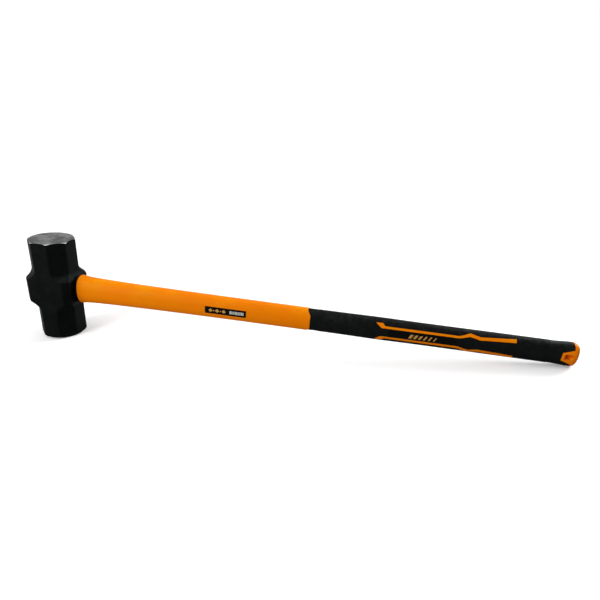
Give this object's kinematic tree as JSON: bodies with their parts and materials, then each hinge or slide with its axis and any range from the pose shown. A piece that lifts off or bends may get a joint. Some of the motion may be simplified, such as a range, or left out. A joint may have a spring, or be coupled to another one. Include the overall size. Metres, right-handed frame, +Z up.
{
  "type": "sledgehammer",
  "caption": "Double-faced octagonal sledgehammer with a fibreglass-cored plastic handle, rubber grip and plastic butt cap with a hang hole.",
  "frame": {"origin": "On the floor under the middle of the hammer's box, with the hammer standing on the rim of its lower striking face and on its butt.", "axes": "+X runs over the floor from the head to the butt, +Z is up, +Y is across the handle towards the rear cheek. The striking axis leans 4.6 degrees from +Z towards +X."},
  "size_m": [0.88, 0.066, 0.1724],
  "materials": {
    "head_paint": "satin black paint on forged steel, striking faces ground bright",
    "eye_epoxy": "amber epoxy potting, slightly glossy",
    "black_nylon": "moulded black nylon",
    "fibreglass": "pultruded glass fibre bar, sawn end",
    "orange_plastic": "moulded polypropylene, satin gloss",
    "black_rubber": "thermoplastic rubber, finely ribbed on its narrow sides",
    "badge_plastic": null,
    "label_film": null
  },
  "bodies": {
    "root": {"head": "head_paint", "eye_resin": "eye_epoxy", "eye_collar": "black_nylon", "handle_core": "fibreglass", "handle_jacket": "orange_plastic", "label_front": "label_film", "grip_sleeve": "black_rubber", "butt_cap": "orange_plastic", "grip_inlay_front_upper": "orange_plastic", "grip_inlay_front_lower": "orange_plastic", "grip_badge_front": "badge_plastic", "grip_inlay_rear_upper": "orange_plastic", "grip_inlay_rear_lower": "orange_plastic", "grip_badge_rear": "badge_plastic"}
  },
  "joints": []
}
